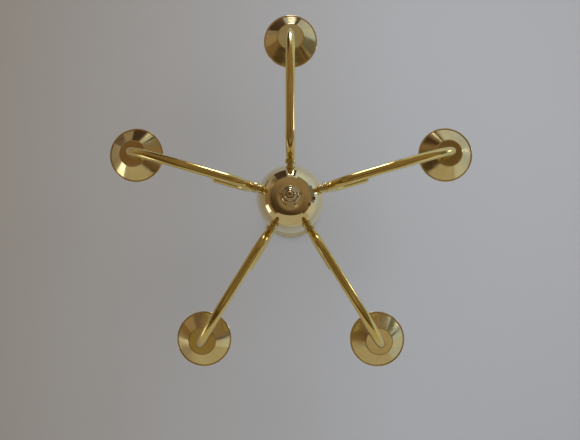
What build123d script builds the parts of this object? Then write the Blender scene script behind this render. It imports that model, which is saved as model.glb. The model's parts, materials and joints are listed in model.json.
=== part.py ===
from build123d import *
from math import acos, asin, cos, degrees, radians, sin, sqrt
import os

os.makedirs("parts", exist_ok=True)

# Five-arm scroll chandelier, hung on a chain.  All sizes are in millimetres.
# Z is up and z = 0 is the ceiling.  The first arm points along +Y.

# ---------------------------------------------------------------- clearances
THREAD_GAP = 0.05         # screwed or spigoted pieces, radial
SEAT_GAP = 0.05           # a turned piece on a curved seat
LINK_GAP = 0.3            # one chain wire lying in the next
FACE_GAP = 0.02           # stacked faces
SLEEVE_GAP = 0.4          # candle sleeve round its lampholder, radial

# ------------------------------------------------------------------- the ball
BALL_Z = -350.0           # centre of the ball under the ceiling
BALL_R = 55.0
BALL_WALL = 1.2
SEAM_UP = 14.0            # the seam of the two shells, above the equator
LIP_DEEP = 4.0            # the upper shell's lip, inside the lower shell
LIP_WALL = 1.2

# ------------------------------------------------------- the threaded centre rod
ROD_R = 5.0
ROD_BORE_R = 3.4
ROD_NUT_FLATS = 17.0
ROD_NUT_TALL = 5.0
WIRE_SLOT_UP = 24.0       # slot in the rod's wall, above the ball's centre
WIRE_SLOT_LONG = 12.0
WIRE_SLOT_WIDE = 4.0

# ------------------------------------------------------------------- the arms
ARM_TURNS = (0.0, 73.5, 148.0, 212.0, 286.5)   # degrees from +Y, the way the arms stand
TUBE_R = 7.25
TUBE_WALL = 1.0
SCROLL_DROP = -5.0        # the scroll's centre against the ball's centre
SCROLL_R = 40.0           # centreline of the scroll's half turn
SCROLL_TAIL = 30.0        # straight end of the scroll, on its upper side
SCROLL_OFF_BALL = 1.0     # between the scroll's tube and the ball, where they are nearest
RISE_LONG = 120.0         # the outer bend that lifts the arm to its cup, a quarter of an ellipse
RISE_TALL = 60.0
RISE_STRAIGHT = 6.0
REACH = 275.0             # chandelier axis to the centre of a cup

NIPPLE_DROP = -22.0       # the nipple's axis against the ball's centre
NIPPLE_R = 4.0
NIPPLE_BORE_R = 2.4
NIPPLE_INSIDE = 11.0      # thread that stands inside the ball
NIPPLE_NUT_FLATS = 13.0
NIPPLE_NUT_TALL = 4.0

FOOT_R = 6.4              # turned collar between ball and scroll: foot, groove and ring
FOOT_ROUND = 2.2
GROOVE_R = 5.0
GROOVE_LONG = 1.4
RING_R = 8.4
RING_ROUND = 1.0
RING_OVER = 1.0           # the ring wraps this far round the tube

TIP_DOME = 4.0            # cap on the free end of the scroll
TIP_SPIGOT = 6.0

END_PLUG = 5.0            # closed end of the tube under the cup
END_THREAD_R = 4.9
END_THREAD_LONG = 13.0
END_BORE_R = 3.2

# ------------------------------------------------------------- cups and candles
CUP_R = 46.0              # to the outside of the rolled rim
CUP_FLAT_R = 22.0
CUP_DEEP = 21.0
CUP_SHEET = 1.0
CUP_BEND_R = 3.0
RIM_ROLL_R = 1.4
CUP_NUT_FLATS = 14.0
CUP_NUT_TALL = 3.0

SLEEVE_R = 13.5
SLEEVE_WALL = 1.2
SLEEVE_TALL = 85.0
SLEEVE_ROUND = 0.5

HOLDER_STEM_R = 7.2
HOLDER_STEM_TALL = 22.0
HOLDER_BELOW_TOP = 2.0    # lampholder's mouth, under the sleeve's top
LAMP_BORE_R = 7.0         # small Edison screw shell
LAMP_BORE_DEEP = 24.0
CONTACT_WELL_R = 5.5      # well under the shell, round the centre contact
CONTACT_R = 2.5
CONTACT_TALL = 3.0

# ------------------------------------------------------------ finial under the ball
DISH_R = 15.4
DISH_LIP = 3.5
DISH_NECK_R = 8.0
DISH_TALL = 9.0           # ball's bottom to the dish's lower face
KNOB_HUB_R = 6.6
KNOB_R = 10.0
KNOB_NECK_R = 5.6
KNOB_NECK_TALL = 3.0
BUTTON_R = 4.4
BUTTON_NECK_R = 3.2
ROD_IN_KNOB = 9.0

# ---------------------------------------------------------- column above the ball
SADDLE_R = 24.0
SADDLE_LIP = 2.0
SADDLE_ABOVE = 6.0        # the saddle's top above the ball's top
VASE_FOOT_R = 12.0
VASE_FOOT_TALL = 8.0
VASE_NECK_R = 8.0
VASE_R = 19.0
VASE_BELLY_UP = 28.0
VASE_LIP_TALL = 9.0
CAP_R = 13.0
CAP_TALL = 7.0

# ----------------------------------------------------------------- loops and chain
EYE_R = 9.5               # centreline of the eye of a loop
EYE_WIRE_R = 2.0
EYE_ROOT = 1.0            # the eye is let into its base this far
LINK_WIRE_R = 1.5
LINK_WIDE = 13.0          # between the wire centres of a link's two legs
LINK_LONG = 27.0          # between the wire centres of a link's two ends
LINK_COUNT = 4
LOOP_BASE_R = 9.5
LOOP_BASE_TALL = 9.0
LOOP_BASE_ROUND = 1.5
ROD_IN_LOOP = 7.0

# ----------------------------------------------------------------- at the ceiling
BRACKET_LONG = 96.0
BRACKET_WIDE = 22.0
BRACKET_THICK = 2.5
BRACKET_HOLE_R = 2.6
BRACKET_HOLES_APART = 76.0
STEM_NUT_FLATS = 17.0
STEM_NUT_TALL = 5.0

CANOPY_R = 62.0
CANOPY_LIP = 5.0
CANOPY_TALL = 58.0
CANOPY_SHEET = 1.0
CANOPY_FLAT_R = 21.0
CANOPY_WAIST_R = 40.0
CANOPY_WAIST_DOWN = 27.0
CANOPY_SHOULDER_R = 30.0
CANOPY_HOLLOW_R = 60.0
CANOPY_BEAD_R = 1.6
SCREW_R = 12.3            # large outside thread of the ceiling loop
SCREW_ABOVE = 14.0        # that thread inside the canopy
SCREW_BELOW = 14.0        # and under it
SCREW_CHAMFER = 0.8
RING_NUT_R = 18.0
RING_NUT_TALL = 8.0
RING_NUT_ROUND = 2.5
STEM_IN_LOOP = 10.0

# -------------------------------------------------------------- inside the ball
BLOCK_LONG = 30.0
BLOCK_DEEP = 12.0
BLOCK_TALL = 16.0
BLOCK_UP = -12.0
BLOCK_WAYS = 3
BLOCK_PITCH = 9.5
BLOCK_SCREW_R = 2.2

# ---------------------------------------------------------------- derived sizes
tube_in = TUBE_R - TUBE_WALL
spigot_r = tube_in - THREAD_GAP
rod_hole = ROD_R + THREAD_GAP
ball_in = BALL_R - BALL_WALL
seam_z = BALL_Z + SEAM_UP
seam_r = sqrt(BALL_R**2 - SEAM_UP**2)
seam_in_r = sqrt(ball_in**2 - SEAM_UP**2)
lip_r = seam_in_r - THREAD_GAP
ball_foot = BALL_Z - sqrt(BALL_R**2 - rod_hole**2)
ball_foot_in = BALL_Z - sqrt(ball_in**2 - rod_hole**2)

# directions from the ball's centre, in degrees above the level
seam_turn = degrees(asin((SEAM_UP + FACE_GAP) / BALL_R))
seam_in_turn = degrees(asin((SEAM_UP + FACE_GAP) / ball_in))
crown_turn = degrees(acos(rod_hole / BALL_R))
crown_in_turn = degrees(acos(rod_hole / ball_in))

nipple_z = BALL_Z + NIPPLE_DROP
sleeve_in = SLEEVE_R - SLEEVE_WALL
holder_r = sleeve_in - SLEEVE_GAP

# along an arm, from the chandelier's axis
scroll_mid = sqrt((BALL_R + SCROLL_OFF_BALL + TUBE_R + SCROLL_R) ** 2 - SCROLL_DROP**2)
tip_x = scroll_mid + SCROLL_TAIL
rise_from = REACH - RISE_LONG
nipple_out = sqrt(BALL_R**2 - NIPPLE_DROP**2)
nipple_end = scroll_mid - sqrt(SCROLL_R**2 - (NIPPLE_DROP - SCROLL_DROP) ** 2)
scroll_face = scroll_mid - sqrt((SCROLL_R + TUBE_R) ** 2 - (NIPPLE_DROP - SCROLL_DROP) ** 2)
foot_start = sqrt(BALL_R**2 - (FOOT_R - NIPPLE_DROP) ** 2) - BALL_WALL
nipple_nut_corner = NIPPLE_NUT_FLATS / sqrt(3) - NIPPLE_DROP
nipple_nut_x = sqrt(ball_in**2 - nipple_nut_corner**2) - SEAT_GAP

# heights measured from the ball's centre
arm_low = SCROLL_DROP - SCROLL_R
arm_high = SCROLL_DROP + SCROLL_R
arm_top = arm_low + RISE_TALL + RISE_STRAIGHT

# heights under the ceiling
cup_z = BALL_Z + arm_top + FACE_GAP
cup_floor = cup_z + CUP_SHEET + FACE_GAP
holder_z = cup_floor + CUP_NUT_TALL + FACE_GAP
holder_top = cup_floor + SLEEVE_TALL - HOLDER_BELOW_TOP
rod_nut_seat = sqrt(ball_in**2 - ROD_NUT_FLATS**2 / 3) - SEAT_GAP
dish_edge = BALL_Z - sqrt(BALL_R**2 - DISH_R**2)
dish_low = BALL_Z - BALL_R - DISH_TALL
knob_top = dish_low - FACE_GAP
knob_neck = knob_top - KNOB_NECK_TALL
knob_mid = knob_neck - sqrt(KNOB_R**2 - KNOB_NECK_R**2)
knob_low = knob_mid - sqrt(KNOB_R**2 - BUTTON_NECK_R**2)
button_mid = knob_low - sqrt(BUTTON_R**2 - BUTTON_NECK_R**2)
rod_low = knob_top - ROD_IN_KNOB

canopy_low = -CANOPY_TALL - CANOPY_SHEET
screw_top = -CANOPY_TALL + SCREW_ABOVE
screw_low = canopy_low - SCREW_BELOW
ceiling_eye_z = screw_low - EYE_R - EYE_WIRE_R + EYE_ROOT
eye_hook = EYE_WIRE_R + LINK_GAP + LINK_WIRE_R
link_hook = LINK_WIRE_R + LINK_GAP + LINK_WIRE_R
first_link_top = ceiling_eye_z - EYE_R + eye_hook
link_step = LINK_LONG - link_hook
last_link_low = first_link_top - (LINK_COUNT - 1) * link_step - LINK_LONG
fixture_eye_z = last_link_low + eye_hook - EYE_R
loop_base_low = fixture_eye_z - EYE_R - EYE_WIRE_R + EYE_ROOT - LOOP_BASE_TALL
rod_top = loop_base_low + ROD_IN_LOOP
cap_low = loop_base_low - FACE_GAP - CAP_TALL
saddle_edge = BALL_Z + sqrt(BALL_R**2 - SADDLE_R**2)
saddle_top = BALL_Z + BALL_R + SADDLE_ABOVE
vase_low = saddle_top + FACE_GAP
vase_high = cap_low - FACE_GAP


def outward(turn):
    """Level direction in which one arm points."""
    return Vector(-sin(radians(turn)), cos(radians(turn)), 0)


def arm_plane(turn):
    """Upright plane of an arm: X runs outwards and Y up, from the ball's centre."""
    along = outward(turn)
    return Plane(origin=(0, 0, BALL_Z), x_dir=along, z_dir=along.cross(Vector(0, 0, 1)))


def root_plane(turn, distance):
    """Plane across an arm's nipple, at a distance from the chandelier's axis."""
    along = outward(turn)
    return Plane(origin=along * distance + Vector(0, 0, nipple_z), x_dir=(0, 0, 1), z_dir=along)


def cup_level(turn, height):
    """Level plane on the axis of one cup."""
    return Plane(origin=outward(turn) * REACH + Vector(0, 0, height), x_dir=outward(turn))


def cup_section(turn, height):
    """Upright plane through the axis of one cup: X runs outwards and Y up."""
    level = cup_level(turn, height)
    return Plane(origin=level.origin, x_dir=level.x_dir, z_dir=level.x_dir.cross(Vector(0, 0, 1)))


def arm_route(turn, end_height):
    """Centreline of an arm, from the scroll's free end to a height under its cup."""
    with BuildLine(arm_plane(turn)) as route:
        Line((tip_x, arm_high), (scroll_mid, arm_high))
        CenterArc((scroll_mid, SCROLL_DROP), SCROLL_R, 90, 180)
        Line((scroll_mid, arm_low), (rise_from, arm_low))
        rise_centre = (rise_from, arm_low + RISE_TALL)
        EllipticalCenterArc(rise_centre, RISE_LONG, RISE_TALL, start_angle=270, arc_size=90)
        Line((REACH, arm_low + RISE_TALL), (REACH, end_height))
    return route.wires()[0]


def keep(part, name):
    """Label a finished piece and write its file."""
    part.label = name
    export_step(part, f"parts/{name}.step")


# ================================================================== at the ceiling
with BuildPart() as ceiling_bracket:
    with BuildSketch(Plane.XY.offset(-BRACKET_THICK)):
        SlotOverall(BRACKET_LONG, BRACKET_WIDE)
        Circle(rod_hole, mode=Mode.SUBTRACT)
        with GridLocations(BRACKET_HOLES_APART, 0, 2, 1):
            Circle(BRACKET_HOLE_R, mode=Mode.SUBTRACT)
    extrude(amount=BRACKET_THICK)
keep(ceiling_bracket.part, "ceiling_bracket")

with BuildPart() as ceiling_stem:
    with BuildSketch(Plane.XY.offset(screw_top - STEM_IN_LOOP)):
        Circle(ROD_R)
        Circle(ROD_BORE_R, mode=Mode.SUBTRACT)
    extrude(amount=STEM_IN_LOOP - screw_top - FACE_GAP)
keep(ceiling_stem.part, "ceiling_stem")

with BuildPart() as stem_nut:
    with BuildSketch(Plane.XY.offset(-BRACKET_THICK - FACE_GAP)):
        RegularPolygon(STEM_NUT_FLATS / 2, 6, major_radius=False)
        Circle(rod_hole, mode=Mode.SUBTRACT)
    extrude(amount=-STEM_NUT_TALL)
keep(stem_nut.part, "stem_nut")

with BuildPart() as ceiling_loop:
    with BuildSketch(Plane.XY.offset(screw_low)):
        Circle(SCREW_R)
    extrude(amount=screw_top - screw_low)
    chamfer(ceiling_loop.edges().filter_by(GeomType.CIRCLE), SCREW_CHAMFER)
    with BuildSketch(Plane.XY.offset(screw_top)):
        Circle(rod_hole)
    extrude(amount=-STEM_IN_LOOP - FACE_GAP, mode=Mode.SUBTRACT)
    with Locations(Plane(origin=(0, 0, ceiling_eye_z), z_dir=(0, 1, 0))):
        Torus(EYE_R, EYE_WIRE_R)
keep(ceiling_loop.part, "ceiling_loop")

with BuildPart() as canopy:
    with BuildSketch(Plane.XZ):
        with BuildLine():
            lip = Line((CANOPY_R, -FACE_GAP), (CANOPY_R, -CANOPY_LIP))
            shoulder = RadiusArc(lip @ 1, (CANOPY_WAIST_R, -CANOPY_WAIST_DOWN), CANOPY_SHOULDER_R)
            hollow = RadiusArc(shoulder @ 1, (CANOPY_FLAT_R, -CANOPY_TALL), -CANOPY_HOLLOW_R)
            Line(hollow @ 1, (SCREW_R + 2 * THREAD_GAP, -CANOPY_TALL))
            offset(amount=CANOPY_SHEET, side=Side.LEFT)
        make_face()
        with Locations((CANOPY_R + CANOPY_BEAD_R / 2, -CANOPY_BEAD_R - FACE_GAP)):
            Circle(CANOPY_BEAD_R)
    revolve(axis=Axis.Z)
keep(canopy.part, "canopy")

with BuildPart() as canopy_ring_nut:
    with BuildSketch(Plane.XY.offset(canopy_low - FACE_GAP)):
        Circle(RING_NUT_R)
        Circle(SCREW_R + THREAD_GAP, mode=Mode.SUBTRACT)
    extrude(amount=-RING_NUT_TALL)
    fillet(canopy_ring_nut.edges().filter_by(GeomType.CIRCLE).group_by(SortBy.RADIUS)[-1], RING_NUT_ROUND)
keep(canopy_ring_nut.part, "canopy_ring_nut")

# ========================================================================== chain
for number in range(1, LINK_COUNT + 1):
    # the links stand crosswise in turn, the first across the eye of the ceiling loop
    link_face = Plane.YZ if number % 2 else Plane.XZ
    bend_high = first_link_top - (number - 1) * link_step - LINK_WIDE / 2
    bend_low = bend_high - LINK_LONG + LINK_WIDE
    with BuildPart() as chain_link:
        with BuildLine(link_face) as link_route:
            left_leg = Line((-LINK_WIDE / 2, bend_low), (-LINK_WIDE / 2, bend_high))
            CenterArc((0, bend_high), LINK_WIDE / 2, 180, -180)
            Line((LINK_WIDE / 2, bend_high), (LINK_WIDE / 2, bend_low))
            CenterArc((0, bend_low), LINK_WIDE / 2, 0, -180)
        with BuildSketch(Plane(origin=left_leg @ 0, z_dir=left_leg % 0)):
            Circle(LINK_WIRE_R)
        sweep(path=link_route.wires()[0])
    keep(chain_link.part, f"chain_link_{number}")

# ======================================================= the loop and column it carries
fixture_eye_across = (1, 0, 0) if LINK_COUNT % 2 == 0 else (0, 1, 0)
with BuildPart() as fixture_loop:
    with BuildSketch(Plane.XY.offset(loop_base_low)):
        Circle(LOOP_BASE_R)
    extrude(amount=LOOP_BASE_TALL)
    fillet(fixture_loop.edges().filter_by(GeomType.CIRCLE), LOOP_BASE_ROUND)
    with BuildSketch(Plane.XY.offset(loop_base_low)):
        Circle(rod_hole)
    extrude(amount=ROD_IN_LOOP + FACE_GAP, mode=Mode.SUBTRACT)
    with Locations(Plane(origin=(0, 0, fixture_eye_z), z_dir=fixture_eye_across)):
        Torus(EYE_R, EYE_WIRE_R)
keep(fixture_loop.part, "fixture_loop")

with BuildPart() as column_cap:
    with BuildSketch(Plane.XZ):
        with BuildLine():
            foot = Line((rod_hole, cap_low), (CAP_R, cap_low))
            bulge = RadiusArc(foot @ 1, (LOOP_BASE_R, cap_low + CAP_TALL), -CAP_TALL)
            Polyline(bulge @ 1, (rod_hole, cap_low + CAP_TALL), foot @ 0)
        make_face()
    revolve(axis=Axis.Z)
keep(column_cap.part, "column_cap")

with BuildPart() as column_vase:
    with BuildSketch(Plane.XZ):
        with BuildLine():
            foot = Line((rod_hole, vase_low), (VASE_FOOT_R, vase_low))
            neck_low = (VASE_NECK_R, vase_low + VASE_FOOT_TALL)
            neck_high = (VASE_NECK_R, vase_high - VASE_LIP_TALL)
            cove = RadiusArc(foot @ 1, neck_low, VASE_FOOT_TALL)
            belly = Spline(
                cove @ 1, (VASE_R, vase_low + VASE_BELLY_UP), neck_high, tangents=((1, 0.4), (0, 1))
            )
            lip = RadiusArc(belly @ 1, (CAP_R - CANOPY_SHEET, vase_high), VASE_LIP_TALL)
            Polyline(lip @ 1, (rod_hole, vase_high), foot @ 0)
        make_face()
    revolve(axis=Axis.Z)
keep(column_vase.part, "column_vase")

with BuildPart() as ball_saddle:
    with BuildSketch(Plane.XZ):
        with BuildLine():
            rim = Line((SADDLE_R, saddle_edge - SADDLE_LIP), (SADDLE_R, saddle_edge + SADDLE_LIP))
            cove = RadiusArc(rim @ 1, (VASE_FOOT_R, saddle_top), -SADDLE_R)
            Polyline(cove @ 1, (rod_hole, saddle_top), (rod_hole, BALL_Z + ball_in), rim @ 0)
        make_face()
    revolve(axis=Axis.Z)
    with Locations((0, 0, BALL_Z)):
        Sphere(BALL_R + SEAT_GAP, mode=Mode.SUBTRACT)
keep(ball_saddle.part, "ball_saddle")

# ========================================================================== ball
with BuildPart() as ball_lower_shell:
    with BuildSketch(Plane.XZ):
        with BuildLine():
            outside = ThreePointArc((rod_hole, ball_foot), (BALL_R, BALL_Z), (seam_r, seam_z))
            seam_face = Line(outside @ 1, (seam_in_r, seam_z))
            inside = ThreePointArc(seam_face @ 1, (ball_in, BALL_Z), (rod_hole, ball_foot_in))
            Line(inside @ 1, outside @ 0)
        make_face()
    revolve(axis=Axis.Z)
    for turn in ARM_TURNS:
        with BuildSketch(root_plane(turn, nipple_out + NIPPLE_R)):
            Circle(NIPPLE_R + THREAD_GAP)
        extrude(amount=-3 * NIPPLE_R, mode=Mode.SUBTRACT)
keep(ball_lower_shell.part, "ball_lower_shell")

with BuildPart() as ball_upper_shell:
    with BuildSketch(Plane.XZ):
        with BuildLine():
            outside = CenterArc((0, BALL_Z), BALL_R, seam_turn, crown_turn - seam_turn)
            inside = CenterArc((0, BALL_Z), ball_in, seam_in_turn, crown_in_turn - seam_in_turn)
            Line(outside @ 0, inside @ 0)
            Line(outside @ 1, inside @ 1)
        make_face()
    revolve(axis=Axis.Z)
    with BuildSketch(Plane.XY.offset(seam_z - LIP_DEEP)):
        Circle(lip_r)
        Circle(lip_r - LIP_WALL, mode=Mode.SUBTRACT)
    extrude(amount=2 * LIP_DEEP)
keep(ball_upper_shell.part, "ball_upper_shell")

with BuildPart() as centre_rod:
    with BuildSketch(Plane.XY.offset(rod_low)):
        Circle(ROD_R)
        Circle(ROD_BORE_R, mode=Mode.SUBTRACT)
    extrude(amount=rod_top - rod_low)
    with BuildSketch(Plane.YZ.offset(-ROD_R)):
        with Locations((0, BALL_Z + WIRE_SLOT_UP)):
            SlotOverall(WIRE_SLOT_LONG, WIRE_SLOT_WIDE, rotation=90)
    extrude(amount=2 * ROD_R, mode=Mode.SUBTRACT)
keep(centre_rod.part, "centre_rod")

with BuildPart() as rod_nuts:
    for nut_low in (-rod_nut_seat, rod_nut_seat - ROD_NUT_TALL):
        with BuildSketch(Plane.XY.offset(BALL_Z + nut_low)):
            RegularPolygon(ROD_NUT_FLATS / 2, 6, major_radius=False)
            Circle(rod_hole, mode=Mode.SUBTRACT)
        extrude(amount=ROD_NUT_TALL)
keep(rod_nuts.part, "rod_nuts")

with BuildPart() as terminal_block:
    with BuildSketch(Plane.XY.offset(BALL_Z + BLOCK_UP)):
        with Locations((0, ROD_R + FACE_GAP + BLOCK_DEEP / 2)):
            Rectangle(BLOCK_LONG, BLOCK_DEEP)
            with GridLocations(BLOCK_PITCH, 0, BLOCK_WAYS, 1):
                Circle(BLOCK_SCREW_R, mode=Mode.SUBTRACT)
    extrude(amount=BLOCK_TALL)
keep(terminal_block.part, "terminal_block")

# ========================================================================== finial
with BuildPart() as finial_dish:
    with BuildSketch(Plane.XZ):
        with BuildLine():
            rim = Line((DISH_R, dish_edge + DISH_LIP), (DISH_R, dish_edge - DISH_LIP))
            under = RadiusArc(rim @ 1, (DISH_NECK_R, dish_low), DISH_R)
            Polyline(under @ 1, (rod_hole, dish_low), (rod_hole, BALL_Z - ball_in), rim @ 0)
        make_face()
    revolve(axis=Axis.Z)
    with Locations((0, 0, BALL_Z)):
        Sphere(BALL_R + SEAT_GAP, mode=Mode.SUBTRACT)
keep(finial_dish.part, "finial_dish")

with BuildPart() as finial_knob:
    with BuildSketch(Plane.XZ):
        with BuildLine():
            hub = Line((0, knob_top), (KNOB_HUB_R, knob_top))
            neck = RadiusArc(hub @ 1, (KNOB_NECK_R, knob_neck), -KNOB_NECK_TALL)
            knob = ThreePointArc(neck @ 1, (KNOB_R, knob_mid), (BUTTON_NECK_R, knob_low))
            button = ThreePointArc(knob @ 1, (BUTTON_R, button_mid), (0, button_mid - BUTTON_R))
            Line(button @ 1, hub @ 0)
        make_face()
    revolve(axis=Axis.Z)
    with BuildSketch(Plane.XY.offset(knob_top)):
        Circle(rod_hole)
    extrude(amount=-ROD_IN_KNOB - FACE_GAP, mode=Mode.SUBTRACT)
keep(finial_knob.part, "finial_knob")

# ==================================================================== the five arms
for number, turn in enumerate(ARM_TURNS, start=1):
    tube_route = arm_route(turn, arm_top)
    wire_route = arm_route(turn, arm_top - END_PLUG)
    tail_end = Plane(origin=tube_route @ 0, z_dir=tube_route % 0)
    nipple_start = root_plane(turn, nipple_out - NIPPLE_INSIDE)
    nipple_long = nipple_end - nipple_out + NIPPLE_INSIDE
    with BuildPart() as arm:
        with BuildSketch(tail_end):
            Circle(TUBE_R)
        sweep(path=tube_route)
        with BuildSketch(nipple_start):
            Circle(NIPPLE_R)
        extrude(amount=nipple_long)
        with BuildSketch(cup_level(turn, BALL_Z + arm_top)):
            Circle(END_THREAD_R)
        extrude(amount=END_THREAD_LONG)
        with BuildSketch(tail_end):
            Circle(tube_in)
        sweep(path=wire_route, mode=Mode.SUBTRACT)
        with BuildSketch(nipple_start):
            Circle(NIPPLE_BORE_R)
        extrude(amount=nipple_long, mode=Mode.SUBTRACT)
        with BuildSketch(cup_level(turn, BALL_Z + arm_top - END_PLUG)):
            Circle(END_BORE_R)
        extrude(amount=END_PLUG + END_THREAD_LONG, mode=Mode.SUBTRACT)
    keep(arm.part, f"arm_{number}")

    with BuildPart() as scroll_tip:
        with BuildSketch(arm_plane(turn)):
            with BuildLine():
                spigot_end = Line((tip_x - TIP_SPIGOT, arm_high), (tip_x - TIP_SPIGOT, arm_high + spigot_r))
                step_x = tip_x + FACE_GAP
                step = Polyline(spigot_end @ 1, (step_x, arm_high + spigot_r), (step_x, arm_high + TUBE_R))
                dome = EllipticalCenterArc((step_x, arm_high), TIP_DOME, TUBE_R, start_angle=0, arc_size=90)
                Line(dome @ 0, spigot_end @ 0)
            make_face()
        revolve(axis=Axis(arm_plane(turn).from_local_coords((0, arm_high)), outward(turn)))
    keep(scroll_tip.part, f"scroll_tip_{number}")

    with BuildPart() as arm_collar:
        with BuildSketch(arm_plane(turn)):
            with BuildLine():
                hole_y = NIPPLE_DROP + NIPPLE_R + THREAD_GAP
                foot_y = NIPPLE_DROP + FOOT_R
                groove_y = NIPPLE_DROP + GROOVE_R
                ring_y = NIPPLE_DROP + RING_R
                groove_from = nipple_out + FOOT_ROUND
                ring_from = groove_from + GROOVE_LONG
                tube_side = scroll_face + RING_OVER
                foot = Polyline((foot_start, hole_y), (foot_start, foot_y), (nipple_out, foot_y))
                bead = RadiusArc(foot @ 1, (groove_from, groove_y), FOOT_ROUND)
                step = Polyline(bead @ 1, (ring_from, groove_y), (ring_from, ring_y - RING_ROUND))
                edge = RadiusArc(step @ 1, (ring_from + RING_ROUND, ring_y), RING_ROUND)
                Polyline(edge @ 1, (tube_side, ring_y), (tube_side, hole_y), foot @ 0)
            make_face()
        revolve(axis=Axis(root_plane(turn, 0).origin, outward(turn)))
        with Locations((0, 0, BALL_Z)):
            Sphere(BALL_R + SEAT_GAP, mode=Mode.SUBTRACT)
        scroll_centre = arm_plane(turn).from_local_coords((scroll_mid, SCROLL_DROP))
        with Locations(Plane(origin=scroll_centre, z_dir=arm_plane(turn).z_dir)):
            Torus(SCROLL_R, TUBE_R + SEAT_GAP, mode=Mode.SUBTRACT)
    keep(arm_collar.part, f"arm_collar_{number}")

with BuildPart() as arm_nuts:
    for turn in ARM_TURNS:
        with BuildSketch(root_plane(turn, nipple_nut_x)):
            RegularPolygon(NIPPLE_NUT_FLATS / 2, 6, major_radius=False)
            Circle(NIPPLE_R + THREAD_GAP, mode=Mode.SUBTRACT)
        extrude(amount=-NIPPLE_NUT_TALL)
keep(arm_nuts.part, "arm_nuts")

# ================================================================ cups and candles
for number, turn in enumerate(ARM_TURNS, start=1):
    cup_axis = Axis(cup_level(turn, cup_z).origin, (0, 0, 1))
    with BuildPart() as cup:
        with BuildSketch(cup_section(turn, cup_z)):
            rim_at = (CUP_R - RIM_ROLL_R, CUP_DEEP - RIM_ROLL_R)
            with BuildLine():
                FilletPolyline((END_THREAD_R + THREAD_GAP, 0), (CUP_FLAT_R, 0), rim_at, radius=CUP_BEND_R)
                offset(amount=CUP_SHEET, side=Side.LEFT)
            make_face()
            with Locations(rim_at):
                Circle(RIM_ROLL_R)
        revolve(axis=cup_axis)
    keep(cup.part, f"cup_{number}")

    with BuildPart() as lampholder:
        with BuildSketch(cup_level(turn, holder_z)):
            Circle(HOLDER_STEM_R)
        extrude(amount=HOLDER_STEM_TALL)
        with BuildSketch(cup_level(turn, holder_z + HOLDER_STEM_TALL)):
            Circle(holder_r)
        extrude(amount=holder_top - holder_z - HOLDER_STEM_TALL)
        with BuildSketch(cup_level(turn, holder_z)):
            Circle(END_THREAD_R + THREAD_GAP)
        extrude(amount=BALL_Z + arm_top + END_THREAD_LONG + FACE_GAP - holder_z, mode=Mode.SUBTRACT)
        with BuildSketch(cup_level(turn, holder_top)):
            Circle(LAMP_BORE_R)
        extrude(amount=-LAMP_BORE_DEEP, mode=Mode.SUBTRACT)
        with BuildSketch(cup_level(turn, holder_top - LAMP_BORE_DEEP)):
            Circle(CONTACT_WELL_R)
            Circle(CONTACT_R, mode=Mode.SUBTRACT)
        extrude(amount=-CONTACT_TALL, mode=Mode.SUBTRACT)
    keep(lampholder.part, f"lampholder_{number}")

    with BuildPart() as candle_sleeve:
        with BuildSketch(cup_level(turn, cup_floor)):
            Circle(SLEEVE_R)
            Circle(sleeve_in, mode=Mode.SUBTRACT)
        extrude(amount=SLEEVE_TALL)
        fillet(candle_sleeve.edges().group_by(Axis.Z)[-1], SLEEVE_ROUND)
    keep(candle_sleeve.part, f"candle_sleeve_{number}")

with BuildPart() as cup_nuts:
    for turn in ARM_TURNS:
        with BuildSketch(cup_level(turn, cup_floor)):
            RegularPolygon(CUP_NUT_FLATS / 2, 6, major_radius=False)
            Circle(END_THREAD_R + THREAD_GAP, mode=Mode.SUBTRACT)
        extrude(amount=CUP_NUT_TALL)
keep(cup_nuts.part, "cup_nuts")
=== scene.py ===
import json
from math import cos, pi, radians, sin, sqrt

import bpy
import numpy as np
from mathutils import Matrix, Vector


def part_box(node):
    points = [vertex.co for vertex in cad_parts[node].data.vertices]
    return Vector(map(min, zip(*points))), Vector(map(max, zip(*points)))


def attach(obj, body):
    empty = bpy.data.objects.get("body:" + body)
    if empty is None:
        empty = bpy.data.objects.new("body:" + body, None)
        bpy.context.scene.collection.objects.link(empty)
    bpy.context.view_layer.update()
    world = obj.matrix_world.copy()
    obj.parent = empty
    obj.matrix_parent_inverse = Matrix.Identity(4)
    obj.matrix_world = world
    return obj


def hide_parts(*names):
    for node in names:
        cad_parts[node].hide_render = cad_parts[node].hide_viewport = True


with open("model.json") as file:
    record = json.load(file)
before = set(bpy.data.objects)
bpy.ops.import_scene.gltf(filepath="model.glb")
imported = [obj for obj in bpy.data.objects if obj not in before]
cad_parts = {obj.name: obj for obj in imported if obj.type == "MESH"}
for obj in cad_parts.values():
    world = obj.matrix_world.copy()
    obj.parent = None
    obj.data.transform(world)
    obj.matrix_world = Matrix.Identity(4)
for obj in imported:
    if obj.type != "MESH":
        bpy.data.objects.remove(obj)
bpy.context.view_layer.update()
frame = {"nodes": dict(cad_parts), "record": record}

bl_info = {
    "name": "Scroll arm chandelier",
    "version": (1, 0, 0),
    "blender": (4, 5, 0),
    "location": "3D View > Sidebar > Chandelier",
    "description": "Turned, spun and bent brass pieces of a five-arm chandelier, and their stage",
    "category": "Object",
}

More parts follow.
